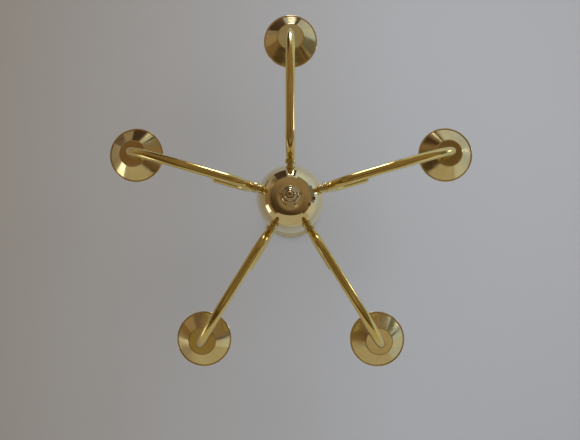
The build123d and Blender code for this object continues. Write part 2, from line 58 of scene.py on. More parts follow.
# ------------------------ fixed shape facts
# Metres, with Z up and z = 0 at the ceiling, as in the part's source.
ARM_TURNS = (0.0, 73.5, 148.0, 212.0, 286.5)  # degrees from +Y, the way the arms stand
BALL_Z = -0.350
BALL_WALL = 0.0012
ROD_HOLE_R = 0.00505
SEAM_UP = 0.014  # the ball's seam over its centre
THREAD_GAP = 0.00005
FACE_GAP = 0.00002
SCROLL_DROP = -0.005  # scroll's centre from the ball's
SCROLL_R = 0.040
SCROLL_TAIL = 0.030
SCROLL_OFF_BALL = 0.001
RISE_LONG = 0.120
RISE_TALL = 0.060
RISE_STRAIGHT = 0.006
REACH = 0.275  # axis to the middle of a cup
END_THREAD_R = 0.0049
END_THREAD_LONG = 0.013
NIPPLE_DROP = -0.022  # nipple's line from the ball's centre
NIPPLE_R = 0.004
NIPPLE_INSIDE = 0.011
FOOT_R = 0.0064  # collar: foot, groove and ring
FOOT_ROUND = 0.0022
GROOVE_R = 0.005
GROOVE_LONG = 0.0014
RING_R = 0.0084
RING_ROUND = 0.001
RING_OVER = 0.001
TUBE_WALL = 0.001
TIP_DOME = 0.004
TIP_SPIGOT = 0.006
EYE_R = 0.0095
EYE_WIRE_R = 0.002
LINK_COUNT = 4
CANOPY_LOW = -0.059
SCREW_LOW = -0.073  # ceiling loop's large thread
SCREW_TOP = -0.044
SCREW_R = 0.0123
SHEET = 0.001  # spun sheet of the cups and the canopy
SOFT_EDGE = 0.00035  # how far a turned edge is eased
FINE_EDGE = 0.0002  # the same, for small pieces and spun sheet
ACROSS, AHEAD, UP = np.eye(3)

# Stage: the ceiling stands just clear of the canopy, and is open inside it to the light above.
CEILING_Z = 0.0006
CEILING_HOLE_R = 0.058
FLOOR_Z = -1.20
ROOM_R = 2.6


# ------------------------ curves and surfaces
def outward(turn):
    """Level direction in which one arm points."""
    return np.array((-sin(radians(turn)), cos(radians(turn)), 0.0))


def placed(turn, distance, height):
    """Point at a distance from the axis, towards one turn."""
    return outward(turn) * distance + UP * height


def arc(centre, radius, start, end, count):
    """Points (x, y) at one radius from a centre, at even angles in degrees."""
    angle = np.radians(np.linspace(start, end, count))
    spokes = np.stack((radius * np.cos(angle), radius * np.sin(angle)), axis=1)
    return np.asarray(centre, float) + spokes


def arc_through(first, middle, last, count):
    """Circle arc through three points: the centre is where the chords' middle lines cross."""
    a, b, c = (np.asarray(point, float) for point in (first, middle, last))
    chords = np.array((b - a, c - b))
    middles = np.array(((a + b) / 2, (b + c) / 2))
    centre = np.linalg.solve(chords, (chords * middles).sum(axis=1))
    spokes = np.array((a, b, c)) - centre
    ends = np.degrees(np.unwrap(np.arctan2(spokes[:, 1], spokes[:, 0])))
    return arc(centre, np.linalg.norm(a - centre), ends[0], ends[2], count)


def bulge(first, last, radius, count):
    """Circle arc between two points. With a positive radius it bulges to the left of its way."""
    a, b = np.asarray(first, float), np.asarray(last, float)
    run = b - a
    half = np.linalg.norm(run) / 2
    left = np.array((-run[1], run[0])) / (2 * half)
    lift = abs(radius) - sqrt(radius**2 - half**2)
    return arc_through(a, (a + b) / 2 + left * lift * np.sign(radius), b, count)


def ease(first, last, first_way, last_way, count):
    """Cubic between two points with given end directions, by Hermite's four weights."""
    t = np.linspace(0, 1, count)[:, None]
    a, b, u, v = (np.asarray(value, float) for value in (first, last, first_way, last_way))
    return (
        (2 * t**3 - 3 * t**2 + 1) * a
        + (t**3 - 2 * t**2 + t) * u
        + (3 * t**2 - 2 * t**3) * b
        + (t**3 - t**2) * v
    )


def chain_of(*runs):
    """Runs of points joined into one line, with repeated points taken out."""
    line = np.vstack([np.atleast_2d(np.asarray(run, float)) for run in runs])
    step = np.linalg.norm(np.diff(line, axis=0), axis=1)
    return line[np.concatenate(([True], step > 1e-7))]


def upright(radius, heights):
    """Run of a profile at one distance off the axis."""
    return np.stack((np.full(len(heights), radius), heights), axis=1)


def resample(line, step):
    """Points at even steps along a line, its length worked out run by run."""
    length = np.concatenate(([0.0], np.cumsum(np.linalg.norm(np.diff(line, axis=0), axis=1))))
    even = np.linspace(0, length[-1], int(length[-1] / step) + 1)
    return np.stack([np.interp(even, length, line[:, k]) for k in range(line.shape[1])], axis=1)


def soften(line, size=SOFT_EDGE, closed=True, steps=5):
    """Each corner becomes a parabola that leaves the line one size before it and meets it after.

    A point is added just outside each parabola, so that the flats beside it stay flat to light.
    """
    p = np.asarray(line, float)
    to_before = np.roll(p, 1, axis=0) - p
    to_after = np.roll(p, -1, axis=0) - p
    before = np.linalg.norm(to_before, axis=1)[:, None]
    after = np.linalg.norm(to_after, axis=1)[:, None]
    away, ahead = to_before / before, to_after / after
    cut_a, cut_b = np.minimum(size, 0.3 * before), np.minimum(size, 0.3 * after)
    t = np.linspace(0, 1, steps)[None, :, None]
    start, finish = (p + away * cut_a)[:, None], (p + ahead * cut_b)[:, None]
    curve = (1 - t) ** 2 * start + 2 * t * (1 - t) * p[:, None] + t**2 * finish
    guard_a, guard_b = (p + away * cut_a * 1.25)[:, None], (p + ahead * cut_b * 1.25)[:, None]
    eased = np.concatenate((guard_a, curve, guard_b), axis=1)
    if closed:
        return eased.reshape(-1, 2)
    return np.vstack((p[:1], eased[1:-1].reshape(-1, 2), p[-1:]))


def skin(grid, ends=None):
    """Shell over a grid of points (rows, columns, 3) whose columns close on themselves.

    The rows close too, or a fan from each of two end points closes the shell. It gives the
    points, the faces, and how far round and along each face corner lies.
    """
    rows, columns = grid.shape[:2]
    points = grid.reshape(-1, 3)
    steps = np.linalg.norm(np.diff(grid, axis=0), axis=2).mean(axis=1)
    long_way = np.concatenate(([0.0], np.cumsum(steps)))
    way = np.append(long_way, long_way[-1] + np.linalg.norm(grid[0] - grid[-1], axis=1).mean())
    last_row = rows if ends is None else rows - 1
    i, j = np.meshgrid(np.arange(last_row), np.arange(columns), indexing="ij")
    i, j = i.ravel(), j.ravel()
    here, beside = i * columns, (i + 1) % rows * columns
    j_next = (j + 1) % columns
    quads = np.stack((here + j, beside + j, beside + j_next, here + j_next), axis=1)
    turn_a, turn_b = j / columns, (j + 1) / columns
    sides = ((turn_a, way[i]), (turn_a, way[i + 1]), (turn_b, way[i + 1]), (turn_b, way[i]))
    quad_marks = np.stack([np.stack(side, axis=1) for side in sides], axis=1)
    fans, fan_marks = np.zeros((0, 3), int), np.zeros((0, 3, 2))
    if ends is not None:
        ring, ring_next = np.arange(columns), (np.arange(columns) + 1) % columns
        low, top = len(points), (rows - 1) * columns
        points = np.vstack((points, np.asarray(ends, float)))
        first = np.stack((np.full(columns, low), ring, ring_next), axis=1)
        second = np.stack((np.full(columns, low + 1), top + ring_next, top + ring), axis=1)
        fans = np.vstack((first, second))
        share = ring / columns
        marks = [np.stack((share, 0 * share + far), axis=1) for far in (0.0, long_way[-1])]
        fan_marks = np.repeat(np.concatenate(marks)[:, None], 3, axis=1)
    triangles = np.vstack((quads[:, :3], quads[:, [0, 2, 3]], fans))
    a, b, c = (points[triangles[:, k]] for k in range(3))
    if np.einsum("ij,ij->", a, np.cross(b, c)) < 0:  # inside out, by the sign of its volume
        quads, quad_marks = quads[:, ::-1], quad_marks[:, ::-1]
        fans, fan_marks = fans[:, ::-1], fan_marks[:, ::-1]
    return points, quads, fans, quad_marks, fan_marks


def turned(profile, origin=(0, 0, 0), axis=(0, 0, 1), rounds=128, ripple=None):
    """Surface of revolution through origin + r (cos a, sin a across the axis) + h along it.

    The profile holds (r, h), and ripple(angle, height) is added to r. A profile whose ends lie
    on the axis closes at two poles, and any other profile is a closed ring.
    """
    axis = np.asarray(axis, float) / np.linalg.norm(axis)
    origin = np.asarray(origin, float)
    across = np.cross(UP if abs(axis[2]) < 0.9 else ACROSS, axis)
    across = across / np.linalg.norm(across)
    side = np.cross(axis, across)
    poles = profile[0, 0] < 1e-9 and profile[-1, 0] < 1e-9
    ring = profile[1:-1] if poles else profile
    angle = np.linspace(0, 2 * pi, rounds, endpoint=False)[None, :]
    radius, height = ring[:, 0][:, None], ring[:, 1][:, None]
    if ripple is not None:
        radius = radius + ripple(angle, height)
    grid = (
        origin
        + (radius * np.cos(angle))[..., None] * across
        + (radius * np.sin(angle))[..., None] * side
        + (height * np.ones_like(angle))[..., None] * axis
    )
    if not poles:
        return skin(grid)
    return skin(grid, ends=(origin + profile[0, 1] * axis, origin + profile[-1, 1] * axis))


def thread(pitch, wave, sunk=0.0):
    """Ripple of a screw thread: a wave that moves along by one pitch in each turn."""
    return lambda angle, z: wave * np.cos(2 * pi * z / pitch - angle) - sunk


def swept(path, radius, face, rounds=48, closed=False):
    """Round bar along a flat path: path + r (cos a along the inner normal + sin a along face)."""
    face = np.asarray(face, float) / np.linalg.norm(face)
    if closed:
        run = np.roll(path, -1, axis=0) - np.roll(path, 1, axis=0)
    else:
        run = np.gradient(path, axis=0)
    run = run / np.linalg.norm(run, axis=1)[:, None]
    side = np.cross(face, run)
    angle = np.linspace(0, 2 * pi, rounds, endpoint=False)
    thick = np.broadcast_to(radius, len(path))[:, None, None]
    around = np.cos(angle)[None, :, None] * side[:, None]
    grid = path[:, None] + thick * (around + np.sin(angle)[None, :, None] * face[None, None])
    return skin(grid) if closed else skin(grid, ends=(path[0], path[-1]))


def body_holding(node):
    """Name of the CAD body that a node rides on."""
    bodies = frame["record"]["behaviour"]["bodies"]
    return next(name for name, nodes in bodies.items() if node in nodes)


def mesh_object(name, points, faces, finish):
    """Mesh object of points and faces in one finish, linked to the scene."""
    mesh = bpy.data.meshes.new(name)
    mesh.from_pydata(points.tolist(), [], faces)
    mesh.materials.append(finish)
    thing = bpy.data.objects.new(name, mesh)
    bpy.context.scene.collection.objects.link(thing)
    return thing


def make_piece(name, shells, finish, node, instead=True):
    """One mesh object from closed shells. It rides with a CAD node, and may take its place."""
    points, faces, marks, base = [], [], [], 0
    for shell_points, quads, fans, quad_marks, fan_marks in shells:
        points.append(shell_points)
        for some, some_marks in ((quads, quad_marks), (fans, fan_marks)):
            faces.extend((some + base).tolist())
            marks.append(some_marks.reshape(-1, 2))
        base += len(shell_points)
    piece = mesh_object(name, np.vstack(points), faces, finish)
    layer = piece.data.uv_layers.new(name="turning")
    layer.data.foreach_set("uv", np.vstack(marks).ravel())
    piece.data.polygons.foreach_set("use_smooth", np.ones(len(faces), bool))
    piece.data.update()
    if instead:
        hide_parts(node)
    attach(piece, body_holding(node))


def lathe(name, profile, finish, node, size=SOFT_EDGE, closed=True, **turning):
    """One mesh object turned from a profile with eased corners."""
    make_piece(name, [turned(soften(profile, size, closed), **turning)], finish, node)


# ------------------------ shader nodes
def fill(node, inputs):
    """Sets a node's inputs: a socket is linked, and any other value is written down."""
    for key, value in inputs.items():
        if isinstance(value, bpy.types.NodeSocket):
            node.id_data.links.new(value, node.inputs[key])
        else:
            node.inputs[key].default_value = value


def new_node(owner, kind, inputs={}, **settings):
    """Shader node with settings and inputs, in the tree that its owner lies in."""
    node = owner.id_data.nodes.new("ShaderNode" + kind)
    for key, value in settings.items():
        setattr(node, key, value)
    fill(node, inputs)
    return node


def new_material(name):
    """Node material, with its Principled shader and the piece's own Object coordinates."""
    material = bpy.data.materials.new(name)
    material.use_nodes = True
    shader = material.node_tree.nodes["Principled BSDF"]
    return material, shader, new_node(shader, "TexCoord").outputs["Object"]


def noise(vector, scale, detail=3.0, roughness=0.5):
    """Noise texture's value socket."""
    inputs = {"Vector": vector, "Scale": scale, "Detail": detail, "Roughness": roughness}
    return new_node(vector, "TexNoise", inputs).outputs["Fac"]


def spread(value, low=0.0, high=1.0, from_low=0.3, from_high=0.7):
    """Value moved from one range to another, held at its ends."""
    ranges = {"From Min": from_low, "From Max": from_high, "To Min": low, "To Max": high}
    return new_node(value, "MapRange", {"Value": value, **ranges}).outputs["Result"]


def mix(factor, first, second):
    """Colour between two colours or sockets."""
    inputs = {0: factor}
    for key, value in ((6, first), (7, second)):
        inputs[key] = value if isinstance(value, bpy.types.NodeSocket) else (*value, 1.0)
    return new_node(factor, "Mix", inputs, data_type="RGBA").outputs[2]


def measure(operation, place, other=(0.0, 0.0, 0.0)):
    """Length of a vector, its distance to another or their dot product."""
    return new_node(place, "VectorMath", {0: place, 1: other}, operation=operation).outputs["Value"]


def along(place, axis):
    """One coordinate of a place."""
    return new_node(place, "SeparateXYZ", {"Vector": place}).outputs[axis]


def raise_bump(height, distance, under=None):
    """Bump from a height socket, over another bump if one is given."""
    inputs = {"Strength": 1.0, "Distance": distance, "Height": height}
    if under is not None:
        inputs["Normal"] = under
    return new_node(height, "Bump", inputs).outputs["Normal"]


def stretched(vector, scale):
    """Coordinates drawn out by a Mapping node."""
    return new_node(vector, "Mapping", {"Vector": vector, "Scale": scale}).outputs["Vector"]


def shaded(colour, *shares):
    """Colour with each channel taken at a share."""
    return tuple(value * share for value, share in zip(colour, shares))


# ------------------------ finishes
def polished_brass(name, colour, sheen, waviness, lines, lacquer):
    """Lacquered brass: clouded colour, uneven polish, a slightly wavy skin and fine tool lines.

    The lines read the piece's own turning map, so that they run round it.
    """
    material, shader, place = new_material(name)
    turning = new_node(place, "UVMap", uv_map="turning").outputs["UV"]
    clouds = spread(noise(place, 22.0, detail=4.0), 0.0, 0.8, 0.38, 0.72)
    specks = spread(noise(place, 420.0, detail=2.0), 0.0, 0.7, 0.70, 0.82)
    polish = noise(place, 75.0, detail=5.0, roughness=0.6)
    tone = mix(clouds, colour, shaded(colour, 0.90, 0.83, 0.66))
    waves = raise_bump(noise(place, 34.0, detail=1.0), waviness)
    rings = noise(stretched(turning, (2.0, 2600.0, 1.0)), 1.0, detail=2.0)
    fill(shader, {
        "Base Color": mix(specks, tone, shaded(colour, 0.55, 0.45, 0.32)),
        "Metallic": 1.0,
        "Roughness": spread(polish, sheen * 0.6, sheen * 1.7),
        "Coat Weight": lacquer,
        "Coat Roughness": 0.04,
        "Coat IOR": 1.5,
        "Normal": raise_bump(rings, lines, under=waves),
    })
    return material


def plated_steel(name):
    """Zinc plate: pale grey with faint blue and yellow bloom and a fine grain."""
    material, shader, place = new_material(name)
    bloom = spread(noise(place, 60.0, detail=4.0))
    fill(shader, {
        "Base Color": mix(bloom, (0.60, 0.60, 0.58), (0.66, 0.62, 0.50)),
        "Metallic": 1.0,
        "Roughness": spread(noise(place, 300.0), 0.28, 0.48),
        "Normal": raise_bump(noise(place, 1400.0), 0.00004),
    })
    return material


def moulding(name, colour, dust, shine):
    """Moulded plastic: satin and even, with a little dust in its hollows and fine orange peel."""
    material, shader, place = new_material(name)
    hollows = spread(noise(place, 40.0, detail=5.0), 0.0, 0.6)
    fill(shader, {
        "Base Color": mix(hollows, colour, dust),
        "Roughness": spread(noise(place, 160.0), shine, shine + 0.14),
        "Normal": raise_bump(noise(place, 900.0, detail=2.0), 0.00005),
    })
    return material


def candle_ivory(name, colour):
    """Candle sleeve: warm ivory with faint streaks along it, slightly glossy and see-through."""
    material, shader, place = new_material(name)
    streaks = noise(stretched(place, (240.0, 240.0, 9.0)), 1.0, detail=4.0)
    streaked = spread(streaks)
    fill(shader, {
        "Base Color": mix(streaked, colour, shaded(colour, 0.96, 0.91, 0.80)),
        "Roughness": spread(noise(place, 120.0), 0.30, 0.44),
        "Subsurface Weight": 0.12,
        "Subsurface Radius": (1.0, 0.6, 0.3),
        "Subsurface Scale": 0.0015,
        "Normal": raise_bump(streaks, 0.00006),
    })
    return material


# ------------------------ what a user may change
def length(label, text, size):
    """Property that holds a length."""
    return bpy.props.FloatProperty(name=label, description=text, default=size, unit="LENGTH")


def tint(label, text, tone):
    """Property that holds a colour."""
    return bpy.props.FloatVectorProperty(
        name=label, description=text, default=tone, subtype="COLOR", min=0.0, max=1.0
    )


class ChandelierSizes(bpy.types.PropertyGroup):
    """Sizes of the visible pieces."""

    ball_radius: length("Ball radius", "Outside radius of the mirror ball", 0.055)
    tube_radius: length("Tube radius", "Outside radius of the arm tube", 0.00725)
    cup_radius: length("Cup radius", "Outside radius of a drip cup", 0.046)
    cup_flat: length("Cup floor radius", "Radius of the flat middle of a cup", 0.022)
    cup_depth: length("Cup depth", "Height of a cup's rim over its floor", 0.021)
    sleeve_radius: length("Candle radius", "Outside radius of a candle sleeve", 0.0135)
    sleeve_tall: length("Candle height", "Height of a candle sleeve", 0.085)
    link_wire: length("Chain wire radius", "Radius of the chain's wire", 0.0015)
    link_wide: length("Link width", "Between the wire centres of a link's legs", 0.013)
    link_long: length("Link length", "Between the wire centres of a link's ends", 0.027)


class ChandelierFinish(bpy.types.PropertyGroup):
    """Colours and light."""

    mirror_brass: tint("Mirror brass", "Colour of the ball", (0.90, 0.80, 0.50))
    tube_brass: tint("Tube brass", "Colour of the arms and the chain", (0.88, 0.73, 0.30))
    spun_brass: tint("Spun brass", "Colour of the cups and the canopy", (0.83, 0.71, 0.40))
    turned_brass: tint(
        "Turned brass", "Colour of the collars, column, loops and scroll ends", (0.80, 0.69, 0.33)
    )
    # The finial's brass is a much darker, browner copy of the brass: painted shade, for the dark
    # floor that the finial mirrors.
    finial_brass: tint("Finial brass", "Colour of the finial's dish and knob", (0.50, 0.37, 0.20))
    ivory: tint("Ivory", "Colour of the candle sleeves", (0.80, 0.74, 0.58))
    ceiling: tint("Ceiling", "Colour of the ceiling behind the light", (0.39, 0.39, 0.39))
    lamp_level: bpy.props.FloatProperty(
        name="Lamp level", description="Strength of the soft lamps", default=1.0, min=0.0
    )


# Colour property and the share taken of it, roughness, depth in metres of the skin's waves and
# of the tool's lines, weight of the lacquer.
BRASSES = {
    "mirror_ball_brass": ("mirror_brass", 1.0, 0.035, 0.00002, 0.0000002, 1.0),
    "spun_cup_brass": ("spun_brass", 1.0, 0.12, 0.00004, 0.0000005, 0.3),
    "drawn_tube_brass": ("tube_brass", 1.0, 0.15, 0.00004, 0.0000003, 0.1),
    "turned_brass": ("turned_brass", 1.0, 0.22, 0.00001, 0.0000003, 0.1),
    "finial_brass": ("finial_brass", 1.0, 0.10, 0.00001, 0.0000004, 0.3),
    "chain_brass": ("tube_brass", 0.9, 0.18, 0.00006, 0.000001, 0.1),
}
# Colour, colour of the dust, lowest roughness.
MOULDINGS = {
    "black_phenolic": ((0.030, 0.028, 0.026), (0.060, 0.056, 0.050), 0.34),
    "white_nylon": ((0.74, 0.73, 0.68), (0.66, 0.64, 0.58), 0.38),
}


def finish_named(name):
    """Material of one name, made the first time that it is asked for."""
    known = bpy.data.materials.get(name)
    if known is not None:
        return known
    look = bpy.context.scene.chandelier_finish
    if name in BRASSES:
        tone, share, *finish = BRASSES[name]
        return polished_brass(name, shaded(getattr(look, tone), share, share, share), *finish)
    if name in MOULDINGS:
        return moulding(name, *MOULDINGS[name])
    return candle_ivory(name, tuple(look.ivory)) if name == "candle_ivory" else plated_steel(name)


def dress(node, finish):
    """A CAD node that keeps its mesh gets a finish in every slot."""
    solid = frame["nodes"][node]
    solid.data.materials.clear()
    solid.data.materials.append(finish)


# ------------------------ pieces
def sphere_line(radius, from_r, to_r, sign, count):
    """Half profile of the ball between two distances off its axis, below (-1) or above (+1)."""
    start, end = (np.degrees(np.arccos(off_axis / radius)) for off_axis in (from_r, to_r))
    return arc((0, 0), radius, start, end, count) * (1, sign) + (0, BALL_Z)


class Step(bpy.types.Operator):
    """What the steps share. Each builds its pieces, and they run in the order written here."""

    def execute(self, context):
        self.build(context.scene.chandelier_sizes)
        return {"FINISHED"}


class CHANDELIER_OT_ball(Step):
    """Mirror ball in two spun shells that meet in a fine seam above the arms."""

    bl_idname = "chandelier.ball"
    bl_label = "Mirror ball"

    def build(self, sizes):
        radius = sizes.ball_radius
        inner = radius - BALL_WALL
        brass = finish_named("mirror_ball_brass")
        seam, seam_inside = (np.degrees(np.arcsin(SEAM_UP / r)) for r in (radius, inner))
        hole, hole_inside = (np.degrees(np.arccos(ROD_HOLE_R / r)) for r in (radius, inner))
        centre, gap, edge = (0, BALL_Z), np.degrees(FACE_GAP / radius), 0.00025
        lower = chain_of(
            arc(centre, radius, -hole, seam, 150), arc(centre, inner, seam_inside, -hole_inside, 60)
        )
        upper = chain_of(
            arc(centre, radius, seam + gap, hole, 120),
            arc(centre, inner, hole_inside, seam_inside, 50),
        )
        for half, line in (("lower", lower), ("upper", upper)):
            lathe(f"ball_{half}_mirror", line, brass, f"ball_{half}_shell", edge, rounds=256)


class CHANDELIER_OT_finial(Step):
    """Dish, knob and button under the ball, each a turned profile."""

    bl_idname = "chandelier.finial"
    bl_label = "Finial"

    def build(self, sizes):
        radius = sizes.ball_radius
        brass = finish_named("finial_brass")
        dish_r, dish_tall, rim_tall, dish_neck = 0.0154, 0.009, 0.0035, 0.008
        dish_low = BALL_Z - radius - dish_tall
        rim_low = BALL_Z - sqrt(radius**2 - dish_r**2) - rim_tall
        dish = chain_of(
            sphere_line(radius + THREAD_GAP, ROD_HOLE_R, dish_r, -1, 24),
            bulge((dish_r, rim_low), (dish_neck, dish_low), dish_r, 30),
            (ROD_HOLE_R, dish_low),
        )
        lathe("finial_dish_turned", dish, brass, "finial_dish", rounds=160)
        cove_r, cove_tall, hole_deep = 0.0066, 0.003, 0.009
        knob_r, knob_neck, button_r, button_neck = 0.010, 0.0056, 0.0044, 0.0032
        top = dish_low - FACE_GAP
        neck = top - cove_tall
        knob_mid = neck - sqrt(knob_r**2 - knob_neck**2)
        knob_low = knob_mid - sqrt(knob_r**2 - button_neck**2)
        button_mid = knob_low - sqrt(button_r**2 - button_neck**2)
        button_low = button_mid - button_r
        hole_end = top - hole_deep - FACE_GAP
        knob = chain_of(
            (0, hole_end), (ROD_HOLE_R, hole_end), (ROD_HOLE_R, top),
            bulge((cove_r, top), (knob_neck, neck), -cove_tall, 12),
            arc_through((knob_neck, neck), (knob_r, knob_mid), (button_neck, knob_low), 70),
            arc_through((button_neck, knob_low), (button_r, button_mid), (0, button_low), 40),
        )
        lathe("finial_knob_turned", knob, brass, "finial_knob", FINE_EDGE, False, rounds=160)


class CHANDELIER_OT_column(Step):
    """Saddle, vase and cap between the ball and the chain."""

    bl_idname = "chandelier.column"
    bl_label = "Column"

    def build(self, sizes):
        radius = sizes.ball_radius
        brass = finish_named("turned_brass")
        saddle_r, saddle_rim, saddle_tall, foot_r = 0.024, 0.002, 0.006, 0.012
        saddle_top = BALL_Z + radius + saddle_tall
        rim_top = BALL_Z + sqrt(radius**2 - saddle_r**2) + saddle_rim
        saddle = chain_of(
            sphere_line(radius + THREAD_GAP, ROD_HOLE_R, saddle_r, 1, 30),
            bulge((saddle_r, rim_top), (foot_r, saddle_top), -saddle_r, 30),
            (ROD_HOLE_R, saddle_top),
        )
        lathe("saddle_turned", saddle, brass, "ball_saddle", rounds=160)
        low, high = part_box("column_vase")[0][2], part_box("column_vase")[1][2]
        belly_r, belly_up, neck_r, foot_cove, head_cove = 0.019, 0.028, 0.008, 0.008, 0.009
        belly = np.array((belly_r, low + belly_up))
        neck_low = np.array((neck_r, low + foot_cove))
        neck_high = np.array((neck_r, high - head_cove))
        vase = chain_of(
            (ROD_HOLE_R, low),
            bulge((foot_r, low), neck_low, foot_cove, 24),
            ease(neck_low, belly, (0.026, 0.0104), (0.0, 0.024), 60),
            ease(belly, neck_high, (0.0, 0.030), (0.0, 0.020), 60),
            bulge(neck_high, (foot_r, high), head_cove, 24),
            (ROD_HOLE_R, high),
        )
        lathe("vase_turned", vase, brass, "column_vase", rounds=160)
        cap_low, cap_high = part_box("column_cap")[0][2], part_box("column_cap")[1][2]
        cap_r, cap_top_r, cap_cove = 0.013, 0.0095, 0.007
        cap = chain_of(
            (ROD_HOLE_R, cap_low),
            bulge((cap_r, cap_low), (cap_top_r, cap_high), -cap_cove, 24),
            (ROD_HOLE_R, cap_high),
        )
        lathe("cap_turned", cap, brass, "column_cap")


def arm_line(ball, tube):
    """Centreline of an arm as (x, y): straight tail, half turn round the scroll, run and rise.

    The rise is a quarter of an ellipse: (long cos a, tall sin a), a from 270 to 360 degrees.
    """
    middle = sqrt((ball + SCROLL_OFF_BALL + tube + SCROLL_R) ** 2 - SCROLL_DROP**2)
    low = SCROLL_DROP - SCROLL_R
    rise = arc((0, 0), 1.0, 270, 360, 180) * (RISE_LONG, RISE_TALL)
    line = chain_of(
        (middle + SCROLL_TAIL, SCROLL_DROP + SCROLL_R),
        arc((middle, SCROLL_DROP), SCROLL_R, 90, 270, 240),
        rise + (REACH - RISE_LONG, low + RISE_TALL),
        (REACH, low + RISE_TALL + RISE_STRAIGHT),
    )
    return resample(line, 0.0009), middle


class CHANDELIER_OT_arms(Step):
    """Five bent tubes with their nipples, turned collars and domed scroll ends."""

    bl_idname = "chandelier.arms"
    bl_label = "Scroll arms"

    def build(self, sizes):
        ball, tube = sizes.ball_radius, sizes.tube_radius
        tube_brass, turned_brass = finish_named("drawn_tube_brass"), finish_named("turned_brass")
        line, middle = arm_line(ball, tube)
        top, tip = line[-1, 1], middle + SCROLL_TAIL
        below = NIPPLE_DROP - SCROLL_DROP
        nipple_out = sqrt(ball**2 - NIPPLE_DROP**2)
        nipple_end = middle - sqrt(SCROLL_R**2 - below**2)
        tube_side = middle - sqrt((SCROLL_R + tube) ** 2 - below**2) + RING_OVER

        def bar(radius, start, end):
            profile = np.array(((0, start), (radius, start), (radius, end), (0, end)))
            return soften(profile, closed=False)

        pin = bar(NIPPLE_R, nipple_out - NIPPLE_INSIDE, nipple_end)
        post = bar(END_THREAD_R, 0.0, END_THREAD_LONG)

        foot_from = sqrt(ball**2 - (FOOT_R - NIPPLE_DROP) ** 2) - BALL_WALL / 2
        groove_from = nipple_out + FOOT_ROUND
        ring_from = groove_from + GROOVE_LONG
        ring_flat = RING_R - RING_ROUND
        collar = chain_of(
            (0, foot_from), (FOOT_R, foot_from),
            bulge((FOOT_R, nipple_out), (GROOVE_R, groove_from), -FOOT_ROUND, 16),
            (GROOVE_R, ring_from), (ring_flat, ring_from),
            arc((ring_flat, ring_from + RING_ROUND), RING_ROUND, -90, 0, 12),
            (RING_R, tube_side), (0, tube_side),
        )

        spigot, step = tube - TUBE_WALL - THREAD_GAP, tip + FACE_GAP
        dome = arc((0, 0), 1.0, 0, 90, 24) * (tube, TIP_DOME) + (0, step)
        cap = chain_of((0, tip - TIP_SPIGOT), (spigot, tip - TIP_SPIGOT), (spigot, step), dome)
        cap[-1, 0] = 0.0

        for number, turn in enumerate(ARM_TURNS, start=1):
            way = outward(turn)
            path = way * line[:, :1] + UP * (BALL_Z + line[:, 1:])
            root = placed(turn, 0, BALL_Z + NIPPLE_DROP)
            scroll_top = placed(turn, 0, BALL_Z + SCROLL_DROP + SCROLL_R)
            tube_shells = [
                swept(path, tube, np.cross(way, UP), rounds=64),
                turned(pin, root, way, 48),
                turned(post, placed(turn, REACH, BALL_Z + top), UP, 48),
            ]
            make_piece(f"arm_{number}_tube", tube_shells, tube_brass, f"arm_{number}")
            lathe(f"arm_{number}_collar", collar, turned_brass, f"arm_collar_{number}", FINE_EDGE,
                  False, origin=root, axis=way, rounds=96)
            lathe(f"scroll_{number}_end", cap, turned_brass, f"scroll_tip_{number}", FINE_EDGE,
                  False, origin=scroll_top, axis=way, rounds=64)


class CHANDELIER_OT_cups(Step):
    """Five spun drip cups with rolled rims."""

    bl_idname = "chandelier.cups"
    bl_label = "Drip cups"

    def build(self, sizes):
        brass = finish_named("spun_cup_brass")
        roll, bend, edge, step, tuck, lap = 0.0014, 0.003, 0.0001, 0.0006, 0.0012, 8
        rim = np.array((sizes.cup_radius - roll, sizes.cup_depth - roll))
        corner = np.array((sizes.cup_flat, 0.0))
        slope = (rim - corner) / np.linalg.norm(rim - corner)
        tilt = np.degrees(np.arctan2(slope[1], slope[0]))
        cut = bend * np.tan(np.radians(tilt) / 2)
        bend_at = (corner[0] - cut, bend)
        rise_from = corner + slope * cut
        inwards = np.array((-slope[1], slope[0])) * SHEET
        hole_r = END_THREAD_R + THREAD_GAP
        under = chain_of(
            (hole_r, 0),
            arc(bend_at, bend, -90, -90 + tilt, 24),
            resample(np.array((rise_from, rim)), step),
        )
        open_way = np.degrees(np.arcsin(SHEET / roll))
        bead = arc(rim, roll, tilt - 180 + lap, tilt + 180 - open_way, 64)
        over = chain_of(
            resample(np.array((rim + inwards - slope * tuck, rise_from + inwards)), step),
            arc(bend_at, bend - SHEET, -90 + tilt, -90, 20),
            (hole_r, SHEET),
        )
        profile = chain_of(under[under[:, 0] < rim[0] - roll * slope[0]], bead, over)
        for number, turn in enumerate(ARM_TURNS, start=1):
            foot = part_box(f"cup_{number}")[0][2]
            lathe(f"drip_cup_{number}", profile, brass, f"cup_{number}", edge,
                  origin=placed(turn, REACH, foot), rounds=224)


